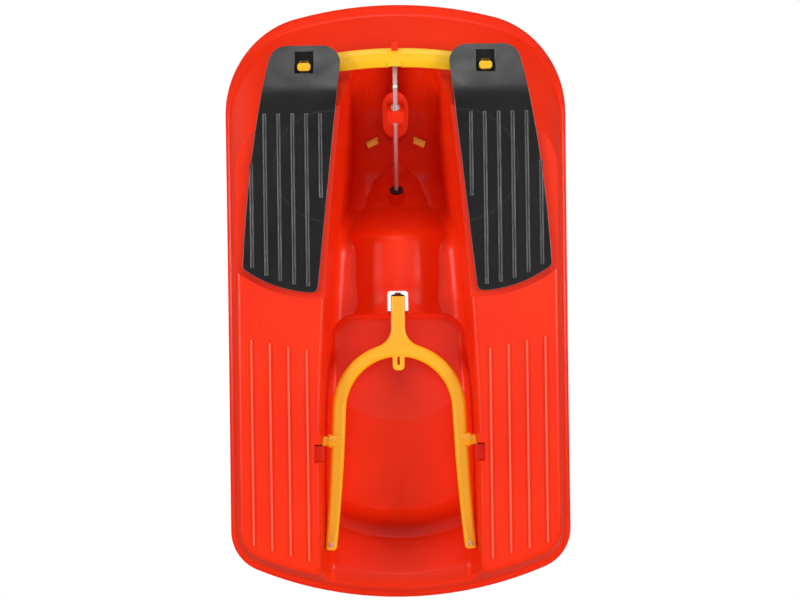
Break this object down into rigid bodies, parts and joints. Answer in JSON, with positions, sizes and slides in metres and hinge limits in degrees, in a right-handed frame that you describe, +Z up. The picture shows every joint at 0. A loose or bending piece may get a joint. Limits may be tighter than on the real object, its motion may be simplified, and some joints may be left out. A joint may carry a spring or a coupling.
{
  "type": "steering sled",
  "caption": "Moulded plastic sled with a steering wheel that turns skis under its runners, a seat between leg wells and a lever brake with steel claws.",
  "frame": {"origin": "on the floor under the middle of the sled's length and width", "axes": "+Z up, +Y towards the tail, so the sled travels along -Y; X across"},
  "size_m": [0.5428, 0.948, 0.2973],
  "materials": {
    "hull_red": "semi-gloss moulded",
    "yellow": "semi-gloss moulded",
    "black": "satin moulded",
    "steel": "zinc plated",
    "rubber": "matte"
  },
  "bodies": {
    "sled": {"hull": "hull_red", "nose_cover": "yellow", "column_grommet": "rubber"},
    "steering": {"steering_rod": "steel", "rod_collar_front": "steel", "rod_collar_rear": "steel", "column_washer": "steel", "steering_wheel": "black", "wheel_nut": "steel", "wheel_cap": "yellow"},
    "tie": {"tie_bar": "yellow"},
    "left_ski": {"ski_left": "black", "ski_washer_left": "steel", "ski_screw_left": "steel"},
    "right_ski": {"ski_right": "black", "ski_washer_right": "steel", "ski_screw_right": "steel"},
    "brake": {"brake_fork": "yellow", "brake_grip": "black", "brake_grip_screw": "steel", "brake_pin_left": "steel", "brake_pin_right": "steel", "brake_claw_left": "steel", "brake_claw_right": "steel"}
  },
  "joints": [
    {"name": "steering_turn", "type": "hinge", "parent": "sled", "child": "steering", "pos_m": [0, -0.29, 0.066], "axis": [0, 0.7431, 0.6691], "range_deg": [-35, 35]},
    {"name": "tie_slide", "type": "slide", "parent": "sled", "child": "tie", "axis": [1, 0, 0], "range_m": [-0.0268, 0.0268]},
    {"name": "left_ski_turn", "type": "hinge", "parent": "sled", "child": "left_ski", "pos_m": [-0.122, -0.206, 0.008], "axis": [0, 0, 1], "range_deg": [-9.9, 9.9]},
    {"name": "right_ski_turn", "type": "hinge", "parent": "sled", "child": "right_ski", "pos_m": [0.122, -0.206, 0.008], "axis": [0, 0, 1], "range_deg": [-9.9, 9.9]},
    {"name": "brake_pull", "type": "hinge", "parent": "sled", "child": "brake", "pos_m": [0, 0.217, 0.044], "axis": [-1, 0, 0], "range_deg": [0, 10]}
  ],
  "couplings": [
    {"joint": "tie_slide", "follows": "steering_turn", "m_per_rad": 0.043381},
    {"joint": "left_ski_turn", "follows": "steering_turn", "ratio": 0.28},
    {"joint": "right_ski_turn", "follows": "steering_turn", "ratio": 0.28}
  ]
}
